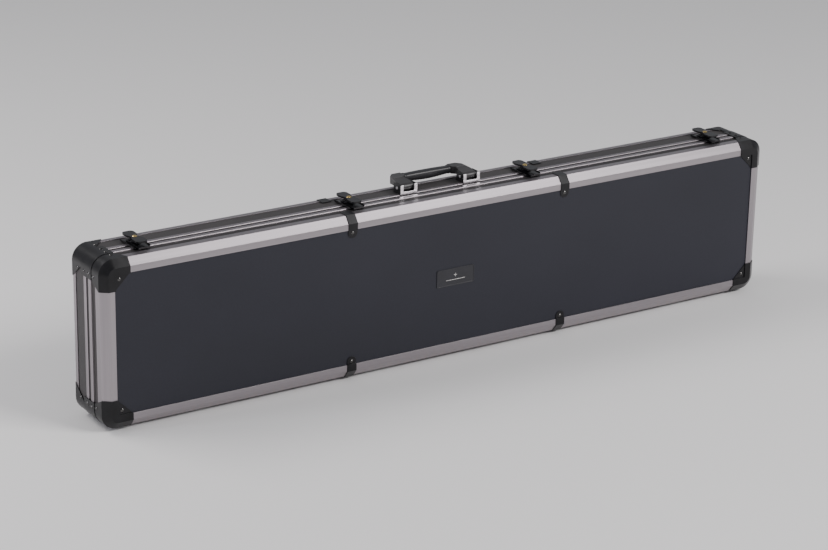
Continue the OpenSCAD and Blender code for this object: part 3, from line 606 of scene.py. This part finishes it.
def gripPiece():
    # moulded grip: a rounded-square section with end collars, a slight belly and finger ribs below
    low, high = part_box("handle_grip")
    middle = (low + high) / 2
    half = (high - low) / 2
    bm = bmesh.new()
    rings = []
    for section in range(grip["sections"] + 1):
        along = section / grip["sections"]
        fromEnd = min(along, 1 - along) * 2 * half.x
        belly = -grip["swell"] * (1 - math.sin(math.pi * along))
        trim = -grip["collarRise"] if fromEnd > grip["collar"] else 0.0
        tip = -grip["tip"] * max(0.0, 1 - fromEnd / grip["tip"]) ** 2
        ring = []
        for turn in range(grip["around"]):
            angle = 2 * math.pi * turn / grip["around"]
            cosine, sine = math.cos(angle), math.sin(angle)
            power = 2 / grip["squareness"]
            y = math.copysign(abs(cosine) ** power, cosine)
            z = math.copysign(abs(sine) ** power, sine)
            rib = 0.5 + 0.5 * math.cos(2 * math.pi * grip["ribCount"] * along)
            under = max(0.0, -sine) * grip["ribDepth"] * rib if trim else 0.0
            cut = belly + trim + tip - under
            drop = grip["drop"] * max(0.0, -sine) * math.sin(math.pi * along)
            height = middle.z + z * (half.z + cut) - drop
            place = (low.x + along * 2 * half.x, middle.y + y * (half.y + cut), height)
            ring.append(bm.verts.new(place))
        rings.append(ring)
    for first, second in zip(rings, rings[1:]):
        for turn in range(grip["around"]):
            after = (turn + 1) % grip["around"]
            bm.faces.new((first[turn], first[after], second[after], second[turn]))
    bm.faces.new(rings[0][::-1])
    bm.faces.new(rings[-1])
    bmesh.ops.recalc_face_normals(bm, faces=bm.faces)
    mesh = bpy.data.meshes.new("grip_moulded")
    bm.to_mesh(mesh)
    bm.free()
    newPiece("grip_moulded", mesh, "grip", "handle", ["handle_grip"])


handleLook = {
    "armEdge": 0.0016,
    "bracketEdge": 0.0006,
    "chromeDepth": 0.0023,
}


def handlePieces():
    gripPiece()
    newPiece("arms_moulded", roundedCopy("handle_arms", handleLook["armEdge"], 3), "arm",
             "handle", ["handle_arms"])
    for side in ("left", "right"):
        node = "handle_bracket_" + side
        mesh = roundedCopy(node, handleLook["bracketEdge"], 2)
        piece = newPiece("bracket_" + side, mesh, ("steel", "chrome"), "base", [node])
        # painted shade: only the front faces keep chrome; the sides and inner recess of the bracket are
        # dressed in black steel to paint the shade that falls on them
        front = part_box(node)[0].y + handleLook["chromeDepth"]
        for face in piece.data.polygons:
            face.material_index = 1 if face.center.y < front else 0


edges = {
    "latch_wing_1": 0.0006, "latch_wing_2": 0.0006, "latch_wing_3": 0.0006, "latch_wing_4": 0.0006,
    "latch_hook_1": 0.0004, "latch_hook_2": 0.0004, "latch_hook_3": 0.0004, "latch_hook_4": 0.0004,
    "latch_bases": 0.00035,
    "latch_keepers": 0.0003,
    "badge_plate": 0.0003,
    "lid_clips": 0.00035, "back_clips": 0.00035, "corner_joiners": 0.0003,
    "lid_corner_top_left": 0.0004, "lid_corner_top_right": 0.0004,
    "lid_corner_bottom_left": 0.0004, "lid_corner_bottom_right": 0.0004,
    "back_corner_top_left": 0.0004, "back_corner_top_right": 0.0004,
    "back_corner_bottom_left": 0.0004, "back_corner_bottom_right": 0.0004,
}


def pressedPieces():
    bodies = frame["record"]["behaviour"]["bodies"]
    owner = {node: body for body, members in bodies.items() for node in members}
    for node, width in edges.items():
        kind = "badge" if node == "badge_plate" else "latch" if node.startswith("latch") else "steel"
        look, slotName = kind, {"badge": "badge_metal", "latch": "latch_steel", "steel": "black_steel"}[kind]
        newPiece(node + "_pressed", roundedCopy(node, width, 2), look, owner[node], [node])


badge = {
    "recess": 0.00056,  # how far behind the plate's front the mark starts
    "thickness": 0.0003,
    "starTip": 0.0042,
    "starWaist": 0.0009,
    "starLift": 0.0035,
    "ruleHalf": (0.020, 0.0006),
    "ruleLift": -0.0052,
}


def badgeMark():
    # a plain ornament: one long rule with a small four-pointed star over it
    low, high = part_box("badge_plate")
    middle = (low + high) / 2
    front = low.y + badge["recess"]
    rear = front + badge["thickness"]
    bm = bmesh.new()
    tip, waist = badge["starTip"], badge["starWaist"]
    star = [(tip, 0), (waist, waist), (0, tip), (-waist, waist),
            (-tip, 0), (-waist, -waist), (0, -tip), (waist, -waist)]
    long, thin = badge["ruleHalf"]
    rule = [(long, -thin), (long, thin), (-long, thin), (-long, -thin)]
    for outline, lift in ((star, badge["starLift"]), (rule, badge["ruleLift"])):
        frontRing = [bm.verts.new((middle.x + x, front, middle.z + lift + z)) for x, z in outline]
        backRing = [bm.verts.new((middle.x + x, rear, middle.z + lift + z)) for x, z in outline]
        bm.faces.new(frontRing)
        bm.faces.new(backRing[::-1])
        for index, vert in enumerate(frontRing):
            after = (index + 1) % len(frontRing)
            bm.faces.new((vert, backRing[index], backRing[after], frontRing[after]))
    bmesh.ops.recalc_face_normals(bm, faces=bm.faces)
    mesh = bpy.data.meshes.new("badge_mark")
    bm.to_mesh(mesh)
    bm.free()
    newPiece("badge_mark", mesh, "mark", "lid")


def floorPiece():
    half = studio["floorSize"] / 2
    mesh = bpy.data.meshes.new("floor")
    corners = [(-half, -half, 0), (half, -half, 0), (half, half, 0), (-half, half, 0)]
    mesh.from_pydata(corners, [], [(0, 1, 2, 3)])
    obj = bpy.data.objects.new("floor", mesh)
    bpy.context.scene.collection.objects.link(obj)
    mesh.materials.append(paleFloor())


placeCamera()
studioWorld()
for light in ("topBox", "frontBox", "leftStrip"):
    softbox(light)
floorPiece()
print("studio ready")
dressNodes()
print("nodes dressed")
lidFoamPiece()
baseFoamPieces()
print("foam cut")
handlePieces()
pressedPieces()
badgeMark()
print("handle, latches and badge made")
